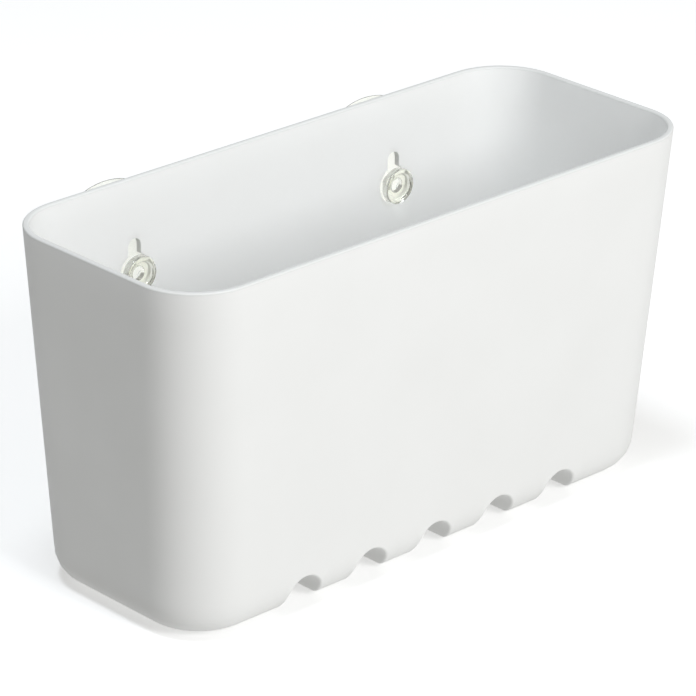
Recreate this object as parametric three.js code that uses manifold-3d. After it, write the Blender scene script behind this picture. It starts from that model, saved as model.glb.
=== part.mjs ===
// Bathroom storage basket: a deep drafted tub that stands on its fluted floor,
// or hangs on a wall by two clear suction cups whose stalks slide in keyholes.
// Millimetres, +Z up. The long front faces -Y and the keyholed back faces +Y.
import * as THREE from 'three';
import { mergeVertices } from 'three/addons/utils/BufferGeometryUtils.js';
import Module from 'manifold-3d';

// Tub, measured outside, with each draft given from the rim down to the floor
const RIM_LENGTH = 285;
const RIM_DEPTH = 119;
const TUB_HEIGHT = 157;
const END_DRAFT = 8.9;
const FRONT_DRAFT = 11.7;
const BACK_DRAFT = 3.8;
const CORNER_RADIUS = 28.2;
const WALL = 2.8;
const INNER_FOOT_RADIUS = 9.6;
const RIM_ROUNDING = 0.8;

// Flutes that run front to back under the floor and stand up as ridges inside
const FLUTE_COUNT = 5;
const FLUTE_PITCH = 36.6;
const FLUTE_RADIUS = 9;
const FLUTE_HEIGHT = 14.6;
const FLUTE_SIDE_ANGLE = THREE.MathUtils.degToRad(74);
const VALLEY_RADIUS = 1.5;

// Suction cup: button head, stalk and cup in one moulding
const CUP_SPACING = 146;
const CUP_BELOW_RIM = 41;
const HEAD_DIAMETER = 16;
const HEAD_THICKNESS = 3.4;
const HEAD_ROUNDING = 0.9;
const HEAD_DISH_DEPTH = 0.9;
const HEAD_DISH_RADIUS = 5.4;
const HEAD_STANDOFF = 0.9;
const STALK_DIAMETER = 6.2;
const CUP_DIAMETER = 70;
const CUP_DEPTH = 15;
const CUP_STANDOFF = 0.8;
const SHOULDER_RADIUS = 8;
const CROWN_THICKNESS = 5;
const LIP_WIDTH = 2.6;
const LIP_THICKNESS = 1.2;
const KNEE_INSET = 8.5;
const KNEE_DROP = 4;

// Keyholes: the head passes the round hole, the stalk runs up the slot
const HEAD_CLEARANCE = 0.1;
const STALK_CLEARANCE = 0.3;
const SLOT_RISE = 11.4;

// Smoothness
const CORNER_STEPS = 10;
const FOOT_STEPS = 6;
const ROUND_STEPS = 3;
const FLUTE_STEPS = 7;
const HOLE_STEPS = 14;
const CUP_SEGMENTS = 40;
const CUP_CURVE_STEPS = 7;

// How far a cutting solid runs past what it cuts
const OVERRUN = 2;

const wasm = await Module();
wasm.setup();

// Closed three.js geometry to a solid that can be cut and joined
function toSolid(geometry) {
  geometry.deleteAttribute('normal');
  geometry.deleteAttribute('uv');
  const merged = mergeVertices(geometry);
  return new wasm.Manifold(new wasm.Mesh({
    numProp: 3,
    vertProperties: Float32Array.from(merged.attributes.position.array),
    triVerts: Uint32Array.from(merged.index.array),
  }));
}

// Solid back to a geometry
function toGeometry(solid) {
  const { vertProperties, triVerts } = solid.getMesh();
  const geometry = new THREE.BufferGeometry();
  geometry.setAttribute('position', new THREE.BufferAttribute(vertProperties, 3));
  geometry.setIndex(new THREE.BufferAttribute(triVerts, 1));
  return geometry;
}

// Closed geometry through a stack of matching convex rings, lowest ring first
function loft(rings) {
  const count = rings[0].length;
  const top = (rings.length - 1) * count;
  const index = [];
  for (let low = 0; low < top; low += count) {
    for (let i = 0; i < count; i += 1) {
      const next = (i + 1) % count;
      index.push(low + i, low + next, low + count + i);
      index.push(low + next, low + count + next, low + count + i);
    }
  }
  for (let i = 1; i < count - 1; i += 1) {
    index.push(0, i + 1, i);
    index.push(top, top + i, top + i + 1);
  }
  const geometry = new THREE.BufferGeometry().setFromPoints(rings.flat());
  geometry.setIndex(index);
  return geometry;
}

// Outline in the XZ plane swept along Y, from yStart to yEnd
function sweepAlongY(outline, yStart, yEnd) {
  const shape = new THREE.Shape(outline);
  const settings = { depth: yEnd - yStart, bevelEnabled: false };
  const geometry = new THREE.ExtrudeGeometry(shape, settings);
  geometry.rotateX(Math.PI / 2);
  geometry.translate(0, yEnd, 0);
  return geometry;
}

// Points of an arc in a plane, angles in radians from the first axis
function arc(centreX, centreY, radius, from, to, steps) {
  const points = [];
  for (let i = 0; i <= steps; i += 1) {
    const angle = THREE.MathUtils.lerp(from, to, i / steps);
    points.push(new THREE.Vector2(
      centreX + radius * Math.cos(angle),
      centreY + radius * Math.sin(angle),
    ));
  }
  return points;
}

// How far the walls have leaned in at a height, as a share of the whole draft
function lean(z) {
  return 1 - z / TUB_HEIGHT;
}

// Outside face of the back wall
function backFace(z) {
  return RIM_DEPTH / 2 - BACK_DRAFT * lean(z);
}

// Rounded rectangle of the tub at a height, moved in from the outside face
function tubRing(z, inset) {
  const radius = CORNER_RADIUS - inset;
  const right = RIM_LENGTH / 2 - END_DRAFT * lean(z) - inset - radius;
  const back = backFace(z) - inset - radius;
  const front = -RIM_DEPTH / 2 + FRONT_DRAFT * lean(z) + inset + radius;
  const quarter = Math.PI / 2;
  return [
    ...arc(right, back, radius, 0, quarter, CORNER_STEPS),
    ...arc(-right, back, radius, quarter, 2 * quarter, CORNER_STEPS),
    ...arc(-right, front, radius, 2 * quarter, 3 * quarter, CORNER_STEPS),
    ...arc(right, front, radius, 3 * quarter, 4 * quarter, CORNER_STEPS),
  ].map((point) => new THREE.Vector3(point.x, point.y, z));
}

// Rings of a rounding from a floor level up into a wall face
function footRings(floor, radius, inset) {
  return arc(0, 0, radius, -Math.PI / 2, 0, FOOT_STEPS)
    .map((point) => tubRing(floor + radius + point.y, inset + radius - point.x));
}

// Outside of the tub as a filled block
function tubBlock() {
  const rounding = arc(-RIM_ROUNDING, -RIM_ROUNDING, RIM_ROUNDING, 0, Math.PI / 2, ROUND_STEPS);
  return loft([
    ...footRings(0, INNER_FOOT_RADIUS + WALL, 0),
    ...rounding.map((point) => tubRing(TUB_HEIGHT + point.y, -point.x)),
  ]);
}

// Space inside the tub, open past the rim, before the ridges take their share
function tubSpace() {
  const rounding = arc(RIM_ROUNDING, -RIM_ROUNDING, RIM_ROUNDING, Math.PI, Math.PI / 2, ROUND_STEPS);
  return loft([
    ...footRings(WALL, INNER_FOOT_RADIUS, WALL),
    ...rounding.map((point) => tubRing(TUB_HEIGHT + point.y, WALL - point.x)),
    tubRing(TUB_HEIGHT + OVERRUN, WALL - RIM_ROUNDING),
  ]);
}

// Section of one flute, or of the ridge that stands a wall's thickness off it:
// a round crown, straight leaning sides and a rounding out onto the floor level
function fluteSection(centreX, offset) {
  const crown = FLUTE_RADIUS + offset;
  const crownCentre = FLUTE_HEIGHT - FLUTE_RADIUS;
  const lip = VALLEY_RADIUS + WALL;
  const bothRadii = FLUTE_RADIUS + lip;
  const sideRun = FLUTE_HEIGHT - bothRadii * (1 - Math.cos(FLUTE_SIDE_ANGLE));
  const lipCentreX = bothRadii * Math.sin(FLUTE_SIDE_ANGLE) + sideRun / Math.tan(FLUTE_SIDE_ANGLE);
  const down = -Math.PI / 2;
  const half = [
    ...arc(0, crownCentre, crown, Math.PI / 2, Math.PI / 2 - FLUTE_SIDE_ANGLE, FLUTE_STEPS),
    ...arc(lipCentreX, lip, lip - offset, down - FLUTE_SIDE_ANGLE, down, FLUTE_STEPS),
    new THREE.Vector2(lipCentreX, -OVERRUN),
  ];
  const mirrored = half.slice(1).reverse().map((point) => new THREE.Vector2(-point.x, point.y));
  return [...mirrored, ...half]
    .reverse()
    .map((point) => new THREE.Vector2(centreX + point.x, point.y));
}

// All the flutes, or all the ridges, as sweeps longer than the tub is deep
function fluteSweeps(offset) {
  const reach = RIM_DEPTH / 2 + OVERRUN;
  const sweeps = [];
  for (let i = 0; i < FLUTE_COUNT; i += 1) {
    const centreX = (i - (FLUTE_COUNT - 1) / 2) * FLUTE_PITCH;
    sweeps.push(toSolid(sweepAlongY(fluteSection(centreX, offset), -reach, reach)));
  }
  return sweeps;
}

// Keyhole outline about the round hole's centre
function keyholeOutline(centreX, centreZ) {
  const hole = HEAD_DIAMETER / 2 + HEAD_CLEARANCE;
  const slot = STALK_DIAMETER / 2 + STALK_CLEARANCE;
  const mouth = Math.acos(slot / hole);
  return [
    ...arc(centreX, centreZ, hole, Math.PI - mouth, 2 * Math.PI + mouth, HOLE_STEPS * 2),
    ...arc(centreX, centreZ + SLOT_RISE, slot, 0, Math.PI, HOLE_STEPS),
  ];
}

const cupHeight = TUB_HEIGHT - CUP_BELOW_RIM;
const cupPlaces = { left: -CUP_SPACING / 2, right: CUP_SPACING / 2 };

function basketBody() {
  let space = toSolid(tubSpace());
  for (const ridge of fluteSweeps(WALL)) {
    space = space.subtract(ridge);
  }
  let body = toSolid(tubBlock()).subtract(space);
  for (const flute of fluteSweeps(0)) {
    body = body.subtract(flute);
  }
  const wallMiddle = backFace(cupHeight) - WALL / 2;
  const reach = WALL + OVERRUN;
  for (const x of Object.values(cupPlaces)) {
    const outline = keyholeOutline(x, cupHeight);
    body = body.subtract(toSolid(sweepAlongY(outline, wallMiddle - reach, wallMiddle + reach)));
  }
  return toGeometry(body);
}

// One suction cup turned about its stalk, with y = 0 at the inside of the wall
function suctionCup() {
  const head = HEAD_DIAMETER / 2;
  const headFront = -HEAD_STANDOFF - HEAD_THICKNESS;
  const stalk = STALK_DIAMETER / 2;
  const crown = WALL + CUP_STANDOFF;
  const lip = crown + CUP_DEPTH;
  const rim = CUP_DIAMETER / 2;
  const hollowTop = crown + CROWN_THICKNESS;
  const edge = head - HEAD_ROUNDING;
  const knee = rim - KNEE_INSET;
  const flange = new THREE.QuadraticBezierCurve(
    new THREE.Vector2(SHOULDER_RADIUS, crown),
    new THREE.Vector2(knee, crown + KNEE_DROP),
    new THREE.Vector2(rim, lip - LIP_THICKNESS),
  );
  const hollow = new THREE.QuadraticBezierCurve(
    new THREE.Vector2(rim - LIP_WIDTH, lip),
    new THREE.Vector2(knee, hollowTop),
    new THREE.Vector2(0, hollowTop),
  );
  const profile = [
    new THREE.Vector2(0, headFront + HEAD_DISH_DEPTH),
    new THREE.Vector2(HEAD_DISH_RADIUS, headFront + HEAD_DISH_DEPTH),
    ...arc(edge, headFront + HEAD_ROUNDING, HEAD_ROUNDING, -Math.PI / 2, 0, ROUND_STEPS),
    ...arc(edge, -HEAD_STANDOFF - HEAD_ROUNDING, HEAD_ROUNDING, 0, Math.PI / 2, ROUND_STEPS),
    new THREE.Vector2(stalk, -HEAD_STANDOFF),
    new THREE.Vector2(stalk, crown),
    ...flange.getPoints(CUP_CURVE_STEPS),
    new THREE.Vector2(rim, lip),
    ...hollow.getPoints(CUP_CURVE_STEPS),
  ];
  return toGeometry(toSolid(new THREE.LatheGeometry(profile, CUP_SEGMENTS)));
}

const whitePlastic = new THREE.MeshStandardMaterial({
  color: 0xeeefee,
  roughness: 0.55,
  metalness: 0,
});

const basket = new THREE.Group();
const tub = new THREE.Mesh(basketBody(), whitePlastic);
tub.name = 'basket_body';
basket.add(tub);

for (const [side, x] of Object.entries(cupPlaces)) {
  const clearPlastic = new THREE.MeshStandardMaterial({
    color: 0xe3e6d6,
    roughness: 0.12,
    metalness: 0,
    transparent: true,
    opacity: 0.4,
  });
  const cup = new THREE.Mesh(suctionCup(), clearPlastic);
  cup.name = `suction_cup_${side}`;
  cup.position.set(x, backFace(cupHeight) - WALL, cupHeight);
  basket.add(cup);
}

// The origin is on the ground, under the middle of tub and cups together
const cupsReach = backFace(cupHeight) + CUP_STANDOFF + CUP_DEPTH;
basket.position.y = (RIM_DEPTH / 2 - cupsReach) / 2;

export default basket;
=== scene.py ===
# Bathroom storage basket: a white moulded tub with two clear suction cups in its back wall.
# Metres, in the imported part's own frame: +X along the length, +Y out of the back, +Z up.
import math

import bmesh
import bpy
import numpy as np
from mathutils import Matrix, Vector


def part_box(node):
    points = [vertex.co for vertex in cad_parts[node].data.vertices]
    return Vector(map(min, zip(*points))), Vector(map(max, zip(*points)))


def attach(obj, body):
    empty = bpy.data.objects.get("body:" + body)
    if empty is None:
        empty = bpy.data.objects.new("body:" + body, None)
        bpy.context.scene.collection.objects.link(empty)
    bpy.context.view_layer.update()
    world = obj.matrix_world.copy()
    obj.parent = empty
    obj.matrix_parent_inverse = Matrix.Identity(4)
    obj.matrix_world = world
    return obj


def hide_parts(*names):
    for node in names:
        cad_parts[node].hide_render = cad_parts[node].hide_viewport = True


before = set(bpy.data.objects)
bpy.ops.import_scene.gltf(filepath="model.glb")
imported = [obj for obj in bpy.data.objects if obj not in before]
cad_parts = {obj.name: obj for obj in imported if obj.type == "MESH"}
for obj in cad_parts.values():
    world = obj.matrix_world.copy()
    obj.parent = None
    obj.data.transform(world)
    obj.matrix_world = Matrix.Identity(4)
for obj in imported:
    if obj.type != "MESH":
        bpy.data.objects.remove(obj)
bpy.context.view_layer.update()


# The tub is one shot of white polypropylene with a fine matt grain: drafted walls on large corner
# radii, a plain rounded rim, and a floor drawn up into flutes that run from front to back.
# Its skin is worked out as one closed sheet, from the underside over the rim to the floor inside.
tub_low, tub_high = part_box("basket_body")
cup_low, cup_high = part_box("suction_cup_right")
RIM_LENGTH = tub_high.x - tub_low.x
RIM_DEPTH = tub_high.y - tub_low.y
TUB_HEIGHT = tub_high.z
TUB_MIDDLE = (tub_high.y + tub_low.y) / 2
END_DRAFT = 0.0089
FRONT_DRAFT = 0.0117
BACK_DRAFT = 0.0038
CORNER_RADIUS = 0.0282
FOOT_RADIUS = 0.0124
WALL = 0.0028
RIM_ROUNDING = 0.0008

FLUTE_COUNT = 5
OUTER_FLUTE = FLUTE_COUNT // 2
FLUTE_PITCH = 0.0366
FLUTE_RADIUS = 0.009
FLUTE_HEIGHT = 0.0146
FLUTE_SIDE = math.radians(74)
VALLEY_RADIUS = 0.0015
FLARE_RADIUS = VALLEY_RADIUS + WALL
SIDE_RISE = FLUTE_HEIGHT - (FLUTE_RADIUS + FLARE_RADIUS) * (1 - math.cos(FLUTE_SIDE))
FLARE_END = (FLUTE_RADIUS + FLARE_RADIUS) * math.sin(FLUTE_SIDE) + SIDE_RISE / math.tan(FLUTE_SIDE)
MOUTH_ROUNDING = 0.001
RIDGE_ROUNDING = 0.0012

CUP_X = (cup_low.x + cup_high.x) / 2
CUP_Z = (cup_low.z + cup_high.z) / 2
HEAD_RADIUS = 0.008
HEAD_CLEARANCE = 0.0001
STALK_RADIUS = 0.0031
STALK_CLEARANCE = 0.0003
HOLE_RADIUS = HEAD_RADIUS + HEAD_CLEARANCE
SLOT_RADIUS = STALK_RADIUS + STALK_CLEARANCE
SLOT_RISE = 0.0114
HOLE_EASE = 0.0003

SPINE_HALF = 0.098
FAN_SHARES = (0, 0.3, 0.6, 0.85, 0.95)
CROWN_POINTS = 10
SIDE_POINTS = 6
STATION_GAP = 0.00012
END_STEPS = 8
CORNER_STEPS = 24
PLAIN_STEPS = 5
CLIMB_STEPS = 24
EDGE_POINTS = 7
HOLE_POINTS = 64
SLOT_POINTS = 32
MERGE_DISTANCE = 1e-6
BEVELLED_FROM = math.radians(50)
SHARP_FROM = math.radians(25)

WHITE = (0.90, 0.905, 0.90, 1)
WHITE_SHADE = (0.86, 0.865, 0.855, 1)
# The rim's grey tone is painted shade: it darkens the rim band where the lamps brighten its rounding.
RIM_PAINTED_SHADE = (0.71, 0.715, 0.705, 1)
HANDLED_AND_SHADED_BAND = 0.0014
POLISH = 0.05
SMUDGE_SHADE = 0.35
DUST_SHADE = 0.5
MATT_ROUGHNESS = (0.54, 0.64)


def lean(z):
    """How much of its draft a wall still has to come out: one at the floor, none at the rim."""
    return 1 - z / TUB_HEIGHT


def flute_surface(x, offset):
    """Height, at each x, of the surface that lies offset inside the underside of the floor: a round
    crown, a straight leaning side and a flare out onto the level floor, the same for each flute."""
    nearest = np.clip(np.round(x / FLUTE_PITCH), -OUTER_FLUTE, OUTER_FLUTE)
    across = np.abs(x - FLUTE_PITCH * nearest)
    crown = FLUTE_RADIUS + offset
    crown_z = FLUTE_HEIGHT - FLUTE_RADIUS
    crown_arc = crown_z + np.sqrt(np.maximum(crown**2 - across**2, 0))
    side_x = crown * np.sin(FLUTE_SIDE)
    side_z = crown_z + crown * np.cos(FLUTE_SIDE)
    side = side_z - (across - side_x) * math.tan(FLUTE_SIDE)
    flare = FLARE_RADIUS - offset
    flare_start = FLARE_END - flare * np.sin(FLUTE_SIDE)
    flare_arc = FLARE_RADIUS - np.sqrt(np.maximum(flare**2 - (FLARE_END - across) ** 2, 0))
    return np.select(
        [across < side_x, across < flare_start, across < FLARE_END],
        [crown_arc, side, flare_arc],
        offset + 0 * across,
    )


def foot_inset(z, depth):
    """How far in from the leaning wall plane the surface at that depth in the wall lies at height z:
    the depth itself above the foot, and below it an arc about the foot rounding's centre."""
    below = FOOT_RADIUS - np.minimum(z, FOOT_RADIUS)
    return FOOT_RADIUS - np.sqrt(np.maximum((FOOT_RADIUS - depth) ** 2 - below**2, 0))


def climb(start, end, depth):
    """Heights from start to end, closer together low down: even steps, squared, along the wall's own
    length, which is arc length round the foot and height above it."""
    radius = FOOT_RADIUS - depth
    quarter = radius * math.pi / 2

    def length(z):
        """Length along the wall from its lowest point up to height z."""
        turn = np.arccos(np.clip((FOOT_RADIUS - z) / radius, -1, 1))
        return np.where(z < FOOT_RADIUS, radius * turn, quarter + z - FOOT_RADIUS)

    first, last = length(start), length(end + 0 * start)
    share = (np.arange(1, CLIMB_STEPS + 1) / CLIMB_STEPS) ** 2
    along = first + (last - first) * share[:, None]
    round_foot = FOOT_RADIUS - radius * np.cos(np.minimum(along, quarter) / radius)
    return np.where(along < quarter, round_foot, along - quarter + FOOT_RADIUS)


def half_flute_stations():
    """Distances from a flute's middle that follow both its underside and its ridge: even turns of each
    crown and flare and even steps down each side, less those too close to the one before."""
    turns = np.linspace(0, FLUTE_SIDE, CROWN_POINTS)
    stations = []
    for offset in (0, WALL):
        crown = (FLUTE_RADIUS + offset) * np.sin(turns)
        flare = FLARE_END - (FLARE_RADIUS - offset) * np.sin(turns)
        stations += [crown, np.linspace(crown[-1], flare[-1], SIDE_POINTS), flare]
    together = np.unique(np.round(np.concatenate(stations), 5))
    return together[np.diff(together, prepend=-1) > STATION_GAP]


def tub_columns():
    """The places round the tub where its wall profile is drawn, counter-clockwise from above. Each
    is a share of the corner centre's x plus a fixed x, a share of its y, and an outward direction.
    One quarter is worked out, from the middle of an end to the middle of a side, and then mirrored."""
    half = half_flute_stations()
    middles = FLUTE_PITCH * np.arange(OUTER_FLUTE + 1)
    between = (middles[:-1] + middles[1:]) / 2
    about = (middles[:, None] + np.concatenate([-half, half])).ravel()
    fluted = np.unique(np.round(np.concatenate([about[about >= 0], between]), 6))[::-1]
    flute_end = fluted[0]
    ends = np.linspace(0, 1, END_STEPS + 1)[:-1]
    turn = np.linspace(0, math.pi / 2, CORNER_STEPS + 1)
    plain = np.linspace(1, 0, PLAIN_STEPS + 1)[1:-1]
    plain_spine = flute_end + (SPINE_HALF - flute_end) * plain
    count = [len(ends), len(turn), len(plain), len(fluted)]

    def per_part(*values):
        """Values for end, corner, plain side and fluted side, each spread over that part's columns."""
        return np.concatenate([np.broadcast_to(v, n) for v, n in zip(values, count)])

    quarter = {
        "fixed_x": per_part(0, 0, flute_end * (1 - plain), fluted),
        "share_x": per_part(1, 1, plain, 0),
        "share_y": per_part(ends, 1, 1, 1),
        "out_x": per_part(1, np.cos(turn), 0, 0),
        "out_y": per_part(0, np.sin(turn), 1, 1),
        "spine_x": per_part(SPINE_HALF, SPINE_HALF, plain_spine, fluted),
    }
    columns = {name: [] for name in [*quarter, "back"]}
    for sign_x, sign_y in ((1, 1), (-1, 1), (-1, -1), (1, -1)):
        keep = slice(0, -1) if sign_x == sign_y else slice(-1, 0, -1)
        for name, values in quarter.items():
            sign = {"share_y": 1, "out_y": sign_y}.get(name, sign_x)
            columns[name].append(sign * values[keep])
        columns["back"].append(np.full(len(columns["fixed_x"][-1]), sign_y > 0))
    return {name: np.concatenate(parts) for name, parts in columns.items()}


def tub_skin():
    """The whole skin as rows of points over the columns. At height z and inset q a point is the
    corner centre's place on that column, plus the outward direction times corner radius less q."""
    c = tub_columns()
    x = np.where(c["share_x"] == 0, c["fixed_x"], RIM_LENGTH)

    def place(z, inset):
        """The row at height z and that inset."""
        z = z + 0 * x
        centre_x = RIM_LENGTH / 2 - CORNER_RADIUS - END_DRAFT * lean(z)
        back = RIM_DEPTH / 2 - CORNER_RADIUS - BACK_DRAFT * lean(z)
        front = -RIM_DEPTH / 2 + CORNER_RADIUS + FRONT_DRAFT * lean(z)
        corner_y = np.where(c["back"], back, front)
        middle_y = (back + front) / 2
        reach = CORNER_RADIUS - inset
        return np.stack([
            c["fixed_x"] + c["share_x"] * centre_x + c["out_x"] * reach,
            TUB_MIDDLE + middle_y + c["share_y"] * (corner_y - middle_y) + c["out_y"] * reach,
            z,
        ], axis=1)

    def ease(radius, offset):
        """A rounding that fades in as a flute rises: none on the level floor, all three radii up."""
        rise = np.clip((flute_surface(x, offset) - offset) / (3 * radius), 0, 1)
        return radius * rise**2 * (3 - 2 * rise)

    def edge(offset, radius, angle):
        """The row at that angle round the edge where the floor's surface meets the wall's."""
        z = flute_surface(x, offset + radius * (1 - math.cos(angle)))
        return place(z, foot_inset(z, offset + radius * (1 - math.sin(angle))))

    def fan(outer, offset):
        """Rows from the floor's middle line, front to back, out towards an outer row."""
        middle_y = TUB_MIDDLE + (FRONT_DRAFT - BACK_DRAFT) / 2 + 0 * x
        spine = np.stack([c["spine_x"], middle_y, flute_surface(x, offset)], axis=1)
        return [spine + (outer - spine) * share for share in FAN_SHARES]

    mouth = ease(MOUTH_ROUNDING, 0)
    ridge = ease(RIDGE_ROUNDING, WALL)
    turns = np.linspace(0, math.pi / 2, EDGE_POINTS)
    under = [edge(0, mouth, angle) for angle in turns]
    inside = [edge(WALL, ridge, angle) for angle in turns]
    rim_foot = TUB_HEIGHT - RIM_ROUNDING
    outer_z = climb(flute_surface(x, mouth), rim_foot, 0)
    inner_z = climb(flute_surface(x, WALL + ridge), rim_foot, WALL)
    rim_z = rim_foot + RIM_ROUNDING * np.sin(turns)
    rim_inset = RIM_ROUNDING * (1 - np.cos(turns))
    return np.array([
        *fan(under[0], 0),
        *under,
        *[place(z, foot_inset(z, 0)) for z in outer_z],
        *[place(z, inset) for z, inset in zip(rim_z, rim_inset)],
        *[place(z, WALL - inset) for z, inset in zip(rim_z[::-1], rim_inset[::-1])],
        *[place(z, foot_inset(z, WALL)) for z in inner_z[::-1]],
        *inside[::-1],
        *fan(inside[0], WALL)[::-1],
    ])


def closed_grid(name, rows):
    """A mesh of the quads between rows of points, each row closed on itself, with what meets merged."""
    row_count, column_count = rows.shape[:2]
    index = np.arange(row_count * column_count).reshape(row_count, column_count)
    beside = np.roll(index, -1, axis=1)
    quads = np.stack([index[:-1], beside[:-1], beside[1:], index[1:]], axis=-1).reshape(-1, 4)
    mesh = bpy.data.meshes.new(name)
    mesh.from_pydata(rows.reshape(-1, 3).tolist(), [], quads.tolist())
    work = bmesh.new()
    work.from_mesh(mesh)
    bmesh.ops.remove_doubles(work, verts=work.verts, dist=MERGE_DISTANCE)
    bmesh.ops.dissolve_degenerate(work, edges=work.edges, dist=MERGE_DISTANCE)
    work.to_mesh(mesh)
    work.free()
    piece = bpy.data.objects.new(name, mesh)
    bpy.context.scene.collection.objects.link(piece)
    return piece


def keyhole_cutter(x):
    """A prism through the back wall, from a wall's thickness behind it to well inside the tub: a round
    hole, and above it the two sides and round end of a slot."""
    mouth = math.acos(SLOT_RADIUS / HOLE_RADIUS)
    around = np.linspace(math.pi - mouth, 2 * math.pi + mouth, HOLE_POINTS)
    over = np.linspace(0, math.pi, SLOT_POINTS)
    outline_x = np.concatenate([HOLE_RADIUS * np.cos(around), SLOT_RADIUS * np.cos(over)])
    outline_z = np.concatenate([HOLE_RADIUS * np.sin(around), SLOT_RISE + SLOT_RADIUS * np.sin(over)])
    back = TUB_MIDDLE + RIM_DEPTH / 2
    rings = [
        np.stack([x + outline_x, y + 0 * outline_x, CUP_Z + outline_z], axis=1)
        for y in (back + WALL, back - 4 * WALL)
    ]
    count = len(outline_x)
    index = np.arange(count)
    beside = np.roll(index, -1)
    sides = np.stack([index, beside, beside + count, index + count], axis=1).tolist()
    caps = [index[::-1].tolist(), (index + count).tolist()]
    mesh = bpy.data.meshes.new("keyhole_cutter")
    mesh.from_pydata(np.concatenate(rings).tolist(), [], sides + caps)
    cutter = bpy.data.objects.new("keyhole_cutter", mesh)
    bpy.context.scene.collection.objects.link(cutter)
    return cutter


def finish_mesh(piece):
    """Makes a piece's modifiers part of its mesh."""
    bpy.context.view_layer.update()
    shown = piece.evaluated_get(bpy.context.evaluated_depsgraph_get())
    mesh = bpy.data.meshes.new_from_object(shown)
    piece.modifiers.clear()
    piece.data = mesh


tub = closed_grid("tub", tub_skin())
cutters = [keyhole_cutter(-CUP_X), keyhole_cutter(CUP_X)]
for cutter in cutters:
    cut = tub.modifiers.new("keyhole", "BOOLEAN")
    cut.operation = "DIFFERENCE"
    cut.solver = "EXACT"
    cut.object = cutter
finish_mesh(tub)
for cutter in cutters:
    bpy.data.objects.remove(cutter)
eased = tub.modifiers.new("keyhole_edges", "BEVEL")
eased.limit_method = "ANGLE"
eased.angle_limit = BEVELLED_FROM
eased.width = HOLE_EASE
eased.segments = 2
finish_mesh(tub)
tub.data.shade_smooth()
tub.data.set_sharp_from_angle(angle=SHARP_FROM)


def surface_life():
    """A group for moulded surfaces: fine grain, as noise with finer noise on it, and soft smudges, as
    a larger noise with its contrast drawn out. Both follow Object coordinates."""
    group = bpy.data.node_groups.new("surface_life", "ShaderNodeTree")
    for name in ("Grain Scale", "Smudge Scale"):
        group.interface.new_socket(name, in_out="INPUT", socket_type="NodeSocketFloat")
    for name in ("Grain", "Smudge"):
        group.interface.new_socket(name, in_out="OUTPUT", socket_type="NodeSocketFloat")
    nodes, links = group.nodes, group.links
    given = nodes.new("NodeGroupInput")
    wanted = nodes.new("NodeGroupOutput")
    place = nodes.new("ShaderNodeTexCoord")
    fine = nodes.new("ShaderNodeTexNoise")
    fine.inputs["Detail"].default_value = 3
    fine.inputs["Roughness"].default_value = 0.6
    soft = nodes.new("ShaderNodeTexNoise")
    soft.inputs["Detail"].default_value = 4
    contrast = nodes.new("ShaderNodeMapRange")
    contrast.inputs["From Min"].default_value = 0.35
    contrast.inputs["From Max"].default_value = 0.7
    links.new(place.outputs["Object"], fine.inputs["Vector"])
    links.new(place.outputs["Object"], soft.inputs["Vector"])
    links.new(given.outputs["Grain Scale"], fine.inputs["Scale"])
    links.new(given.outputs["Smudge Scale"], soft.inputs["Scale"])
    links.new(soft.outputs["Fac"], contrast.inputs["Value"])
    links.new(fine.outputs["Fac"], wanted.inputs["Grain"])
    links.new(contrast.outputs["Result"], wanted.inputs["Smudge"])
    return group


moulded_life = surface_life()


def new_material(name):
    """A node material, with its nodes, its links and its shader."""
    material = bpy.data.materials.new(name)
    material.use_nodes = True
    nodes, links = material.node_tree.nodes, material.node_tree.links
    return material, nodes, links, nodes["Principled BSDF"]


def add_life(nodes, grain_scale, smudge_scale):
    """The group for moulded surfaces, placed among a material's nodes at these scales."""
    life = nodes.new("ShaderNodeGroup")
    life.node_tree = moulded_life
    life.inputs["Grain Scale"].default_value = grain_scale
    life.inputs["Smudge Scale"].default_value = smudge_scale
    return life


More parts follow.
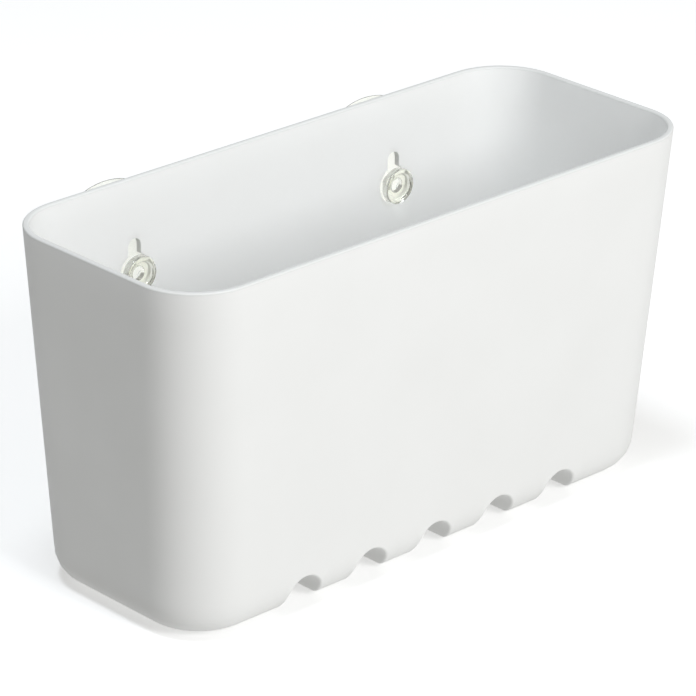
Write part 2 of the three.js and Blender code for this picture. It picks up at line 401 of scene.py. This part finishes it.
def matt_white_plastic():
    """Matt white: two near whites mixed by smudges and by dust low on the walls, a rim band greyed with
    painted shade where the lamps brighten its rounding and polished by handling along its edge, and a
    fine grain as bump."""
    material, nodes, links, shader = new_material("matt_white_plastic")
    shader.inputs["Specular IOR Level"].default_value = 0.35
    life = add_life(nodes, grain_scale=1400, smudge_scale=22)
    place = nodes.new("ShaderNodeTexCoord")
    split = nodes.new("ShaderNodeSeparateXYZ")
    links.new(place.outputs["Object"], split.inputs["Vector"])
    # The rim band's mask carries both the rim's painted shade and the lower roughness of handling polish.
    handled_and_shaded_rim = nodes.new("ShaderNodeMapRange")
    handled_and_shaded_rim.interpolation_type = "SMOOTHSTEP"
    handled_and_shaded_rim.inputs["From Min"].default_value = TUB_HEIGHT - HANDLED_AND_SHADED_BAND
    handled_and_shaded_rim.inputs["From Max"].default_value = TUB_HEIGHT
    links.new(split.outputs["Z"], handled_and_shaded_rim.inputs["Value"])
    dust = nodes.new("ShaderNodeMapRange")
    dust.interpolation_type = "SMOOTHSTEP"
    dust.inputs["From Min"].default_value = FOOT_RADIUS
    dust.inputs["From Max"].default_value = 0
    dust.inputs["To Max"].default_value = DUST_SHADE
    links.new(split.outputs["Z"], dust.inputs["Value"])
    shade = nodes.new("ShaderNodeMath")
    shade.operation = "MULTIPLY_ADD"
    shade.inputs[1].default_value = SMUDGE_SHADE
    links.new(life.outputs["Smudge"], shade.inputs[0])
    links.new(dust.outputs["Result"], shade.inputs[2])
    tone = nodes.new("ShaderNodeMix")
    tone.data_type = "RGBA"
    tone.inputs["A"].default_value = WHITE
    tone.inputs["B"].default_value = WHITE_SHADE
    links.new(shade.outputs["Value"], tone.inputs["Factor"])
    # Painted shade: the rim band is mixed towards a darker grey, standing in for shade on the rim, not
    # for wear.
    rim_painted_shade = nodes.new("ShaderNodeMix")
    rim_painted_shade.data_type = "RGBA"
    rim_painted_shade.inputs["B"].default_value = RIM_PAINTED_SHADE
    links.new(handled_and_shaded_rim.outputs["Result"], rim_painted_shade.inputs["Factor"])
    links.new(tone.outputs["Result"], rim_painted_shade.inputs["A"])
    links.new(rim_painted_shade.outputs["Result"], shader.inputs["Base Color"])
    rough = nodes.new("ShaderNodeMapRange")
    rough.inputs["To Min"].default_value, rough.inputs["To Max"].default_value = MATT_ROUGHNESS
    links.new(life.outputs["Smudge"], rough.inputs["Value"])
    polished = nodes.new("ShaderNodeMath")
    polished.operation = "MULTIPLY_ADD"
    polished.inputs[1].default_value = -POLISH
    links.new(handled_and_shaded_rim.outputs["Result"], polished.inputs[0])
    links.new(rough.outputs["Result"], polished.inputs[2])
    links.new(polished.outputs["Value"], shader.inputs["Roughness"])
    bump = nodes.new("ShaderNodeBump")
    bump.inputs["Strength"].default_value = 0.25
    bump.inputs["Distance"].default_value = 0.00004
    links.new(life.outputs["Grain"], bump.inputs["Height"])
    links.new(bump.outputs["Normal"], shader.inputs["Normal"])
    return material


tub.data.materials.clear()
tub.data.materials.append(matt_white_plastic())

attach(tub, "basket")
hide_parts("basket_body")


# Each suction cup is one shot of soft clear plastic: a dished button inside the tub, a stalk through
# the keyhole and a cup behind the wall. It is turned about the stalk, with depth 0 at the wall's inside.
CUP_RADIUS = (cup_high.x - cup_low.x) / 2
CUP_DEPTH = 0.015
CUP_STANDOFF = 0.0008
HEAD_THICKNESS = 0.0034
HEAD_STANDOFF = 0.0009
HEAD_ROUNDING = 0.0009
DISH_DEPTH = 0.0009
DISH_RADIUS = 0.0054
DISH_SLOPE = 0.0006
DISH_ROUNDING = 0.0005
DISH_EDGE_ROUNDING = 0.0004
BOSS_RADIUS = 0.0016
BOSS_HEIGHT = 0.00008
BOSS_ROUNDING = 0.0003
BOSS_FOOT_ROUNDING = 0.0002
STALK_ROUNDING = 0.0006
SHOULDER_RADIUS = 0.008
SHOULDER_ROUNDING = 0.0004
CROWN_THICKNESS = 0.005
LIP_WIDTH = 0.0005
LIP_THICKNESS = 0.0002
KNEE_INSET = 0.006
KNEE_DROP = 0.004
ROUNDING_POINTS = 6
BEND_POINTS = 25
TURNED_POINTS = 96
CUP_SHARP_FROM = math.radians(50)
CLEAR = (0.992, 0.994, 0.94, 1)
CLEAR_HAZE = (0.975, 0.978, 0.905, 1)
CLEAR_ROUGHNESS = (0.05, 0.14)
SHADOW_THINNED = 0.75


def bend(start, corner, end, points):
    """A curve from start to end that leaves towards the corner and arrives from it: the three weighted
    by the squares, and twice the product, of the shares of the way still to go and gone."""
    gone = np.linspace(0, 1, points)[:, None]
    start, corner, end = np.array(start), np.array(corner), np.array(end)
    return start * (1 - gone) ** 2 + 2 * corner * gone * (1 - gone) + end * gone**2


def rounded(corners, radii):
    """An outline through corners, each corner eased by a bend that starts and ends a radius away from
    it along its two sides, or half a side where that is shorter."""
    corners = np.array(corners)
    parts = [corners[:1]]
    for before, corner, after, radius in zip(corners, corners[1:], corners[2:], radii):
        into, out = before - corner, after - corner
        start = corner + into * min(radius / np.linalg.norm(into), 0.5)
        end = corner + out * min(radius / np.linalg.norm(out), 0.5)
        parts.append(bend(start, corner, end, ROUNDING_POINTS))
    return np.concatenate([*parts, corners[-1:]])


def cup_profile():
    """Radius and depth from the middle of the button, over its edge, down the stalk and flange, round
    the lip and back up the hollow to the axis. Flange and hollow each bend once, at the knee."""
    front = -HEAD_STANDOFF - HEAD_THICKNESS
    dish = front + DISH_DEPTH
    crown = WALL + CUP_STANDOFF
    hollow_top = crown + CROWN_THICKNESS
    lip = crown + CUP_DEPTH
    lip_inside = (CUP_RADIUS - LIP_WIDTH, lip)
    knee = CUP_RADIUS - KNEE_INSET
    button = rounded(
        [
            (0, dish - BOSS_HEIGHT),
            (BOSS_RADIUS, dish - BOSS_HEIGHT),
            (BOSS_RADIUS + BOSS_HEIGHT, dish),
            (DISH_RADIUS, dish),
            (DISH_RADIUS + DISH_SLOPE, front),
            (HEAD_RADIUS, front),
            (HEAD_RADIUS, -HEAD_STANDOFF),
            (STALK_RADIUS, -HEAD_STANDOFF),
            (STALK_RADIUS, crown),
            (SHOULDER_RADIUS, crown),
        ],
        [
            BOSS_ROUNDING,
            BOSS_FOOT_ROUNDING,
            DISH_ROUNDING,
            DISH_EDGE_ROUNDING,
            HEAD_ROUNDING,
            HEAD_ROUNDING,
            STALK_ROUNDING,
            SHOULDER_ROUNDING,
        ],
    )
    flange = bend(
        (SHOULDER_RADIUS, crown),
        (knee, crown + KNEE_DROP),
        (CUP_RADIUS, lip - LIP_THICKNESS),
        BEND_POINTS,
    )
    edge = rounded([flange[-1], (CUP_RADIUS, lip), lip_inside], [LIP_THICKNESS / 2])
    hollow = bend(lip_inside, (knee, hollow_top), (0, hollow_top), BEND_POINTS)
    return np.concatenate([button[:-1], flange[:-1], edge[:-1], hollow])


def suction_cup(name, x):
    """The profile turned about the stalk, clockwise as seen from the front so that it faces outwards."""
    radius, depth = cup_profile().T
    around = np.linspace(0, -2 * math.pi, TURNED_POINTS, endpoint=False)
    wall_inside = cup_high.y - WALL - CUP_STANDOFF - CUP_DEPTH
    turned = np.stack(
        [
            x + radius[:, None] * np.cos(around),
            np.repeat(wall_inside + depth[:, None], len(around), axis=1),
            CUP_Z + radius[:, None] * np.sin(around),
        ],
        axis=2,
    )
    return closed_grid(name, turned)


def clear_soft_plastic():
    """Clear, a little milky and faintly green: most light passes through it, smudges dull its tint and
    its gloss, a wavy grain bends what shows behind it, and its shadow is thinned."""
    material, nodes, links, shader = new_material("clear_soft_plastic")
    shader.inputs["Transmission Weight"].default_value = 0.94
    shader.inputs["IOR"].default_value = 1.5
    life = add_life(nodes, grain_scale=260, smudge_scale=60)
    tint = nodes.new("ShaderNodeMix")
    tint.data_type = "RGBA"
    tint.inputs["A"].default_value = CLEAR
    tint.inputs["B"].default_value = CLEAR_HAZE
    links.new(life.outputs["Smudge"], tint.inputs["Factor"])
    links.new(tint.outputs["Result"], shader.inputs["Base Color"])
    rough = nodes.new("ShaderNodeMapRange")
    rough.inputs["To Min"].default_value, rough.inputs["To Max"].default_value = CLEAR_ROUGHNESS
    links.new(life.outputs["Smudge"], rough.inputs["Value"])
    links.new(rough.outputs["Result"], shader.inputs["Roughness"])
    bump = nodes.new("ShaderNodeBump")
    bump.inputs["Strength"].default_value = 0.3
    bump.inputs["Distance"].default_value = 0.0001
    links.new(life.outputs["Grain"], bump.inputs["Height"])
    links.new(bump.outputs["Normal"], shader.inputs["Normal"])
    path = nodes.new("ShaderNodeLightPath")
    thin = nodes.new("ShaderNodeMath")
    thin.operation = "MULTIPLY"
    thin.inputs[1].default_value = SHADOW_THINNED
    links.new(path.outputs["Is Shadow Ray"], thin.inputs[0])
    through = nodes.new("ShaderNodeBsdfTransparent")
    through.inputs["Color"].default_value = CLEAR
    passed = nodes.new("ShaderNodeMixShader")
    links.new(thin.outputs["Value"], passed.inputs["Fac"])
    links.new(shader.outputs["BSDF"], passed.inputs[1])
    links.new(through.outputs["BSDF"], passed.inputs[2])
    links.new(passed.outputs["Shader"], nodes["Material Output"].inputs["Surface"])
    return material


clear = clear_soft_plastic()
for side, sign in (("left", -1), ("right", 1)):
    cup = suction_cup(f"clear_cup_{side}", sign * CUP_X)
    cup.data.shade_smooth()
    cup.data.set_sharp_from_angle(angle=CUP_SHARP_FROM)
    cup.data.materials.append(clear)
    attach(cup, f"cup_{side}")
    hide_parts(f"suction_cup_{side}")


# The stage is a plain pale floor under soft studio light, with a camera at the photograph's angle.
# The floor glows a little and lets light through from below, as a light table does, and the world is
# white all round, brightest before the tub's front.
AIM = Vector((-0.00759, TUB_MIDDLE - 0.0023, 0.08107))
AZIMUTH = math.radians(-42.76)
ELEVATION = math.radians(23.72)
DISTANCE = 1.6921
FOCAL_PIXELS = 4075.5
FRAME_PIXELS = 696
SENSOR_WIDTH = 36
VIEW_REACH = 20
FLOOR_HALF = 4.0
FLOOR_DROP = 0.0002
FLOOR_GLOW = 0.28
PALE = (0.94, 0.94, 0.94, 1)
NEUTRAL = (1, 1, 1)
COOL = (0.95, 1, 1.06)
WORLD_FRONT = 0.52
WORLD_BACK = 0.25
WORLD_WARM = (1, 1, 0.975, 1)

towards_camera = Vector((
    math.sin(AZIMUTH) * math.cos(ELEVATION),
    -math.cos(AZIMUTH) * math.cos(ELEVATION),
    math.sin(ELEVATION),
))
camera_data = bpy.data.cameras.new("camera")
camera_data.sensor_width = SENSOR_WIDTH
camera_data.lens = FOCAL_PIXELS / FRAME_PIXELS * SENSOR_WIDTH
camera_data.clip_end = VIEW_REACH
camera = bpy.data.objects.new("camera", camera_data)
camera.location = AIM + towards_camera * DISTANCE
camera.rotation_euler = towards_camera.to_track_quat("Z", "Y").to_euler()
bpy.context.scene.collection.objects.link(camera)
bpy.context.scene.camera = camera


def pale_floor():
    """A level square a hair below the tub's lands. It sends no diffuse light back and casts no shadow."""
    corners = np.array([(-1, -1), (1, -1), (1, 1), (-1, 1)]) * FLOOR_HALF
    points = np.column_stack([corners, np.full(4, -FLOOR_DROP)])
    mesh = bpy.data.meshes.new("floor")
    mesh.from_pydata(points.tolist(), [], [(0, 1, 2, 3)])
    material, _, _, shader = new_material("pale_floor")
    shader.inputs["Base Color"].default_value = PALE
    shader.inputs["Roughness"].default_value = 0.8
    shader.inputs["Emission Color"].default_value = PALE
    shader.inputs["Emission Strength"].default_value = FLOOR_GLOW
    material.cycles.emission_sampling = "NONE"
    mesh.materials.append(material)
    floor = bpy.data.objects.new("floor", mesh)
    floor.visible_diffuse = False
    floor.visible_shadow = False
    bpy.context.scene.collection.objects.link(floor)
    return floor


def softbox(name, place, size, power, colour):
    """A square area light that faces the tub's middle."""
    light = bpy.data.lights.new(name, "AREA")
    light.size = size
    light.energy = power
    light.color = colour
    lamp = bpy.data.objects.new(name, light)
    lamp.location = place
    lamp.rotation_euler = (Vector(place) - AIM).to_track_quat("Z", "Y").to_euler()
    bpy.context.scene.collection.objects.link(lamp)


def studio_world():
    """White all round, brightest straight ahead of the tub's front and dimmest straight behind it."""
    world = bpy.data.worlds.new("studio")
    world.use_nodes = True
    nodes, links = world.node_tree.nodes, world.node_tree.links
    background = nodes["Background"]
    background.inputs["Color"].default_value = WORLD_WARM
    place = nodes.new("ShaderNodeTexCoord")
    split = nodes.new("ShaderNodeSeparateXYZ")
    fall = nodes.new("ShaderNodeMapRange")
    fall.inputs["From Min"].default_value = -1
    fall.inputs["From Max"].default_value = 1
    fall.inputs["To Min"].default_value = WORLD_FRONT
    fall.inputs["To Max"].default_value = WORLD_BACK
    links.new(place.outputs["Generated"], split.inputs["Vector"])
    links.new(split.outputs["Y"], fall.inputs["Value"])
    links.new(fall.outputs["Result"], background.inputs["Strength"])
    return world


floor = pale_floor()
softbox("front", place=(0.05, -1.8, 1.1), size=0.8, power=20.2, colour=NEUTRAL)
softbox("front_low", place=(0.05, -1.9, 0.45), size=0.8, power=2.6, colour=NEUTRAL)
softbox("top", place=(-0.35, 0.0, 2.0), size=0.6, power=16, colour=COOL)
softbox("under", place=(0.0, 0.0, -0.5), size=0.5, power=0.6, colour=NEUTRAL)
bpy.context.scene.world = studio_world()
bpy.context.scene.view_settings.view_transform = "Standard"
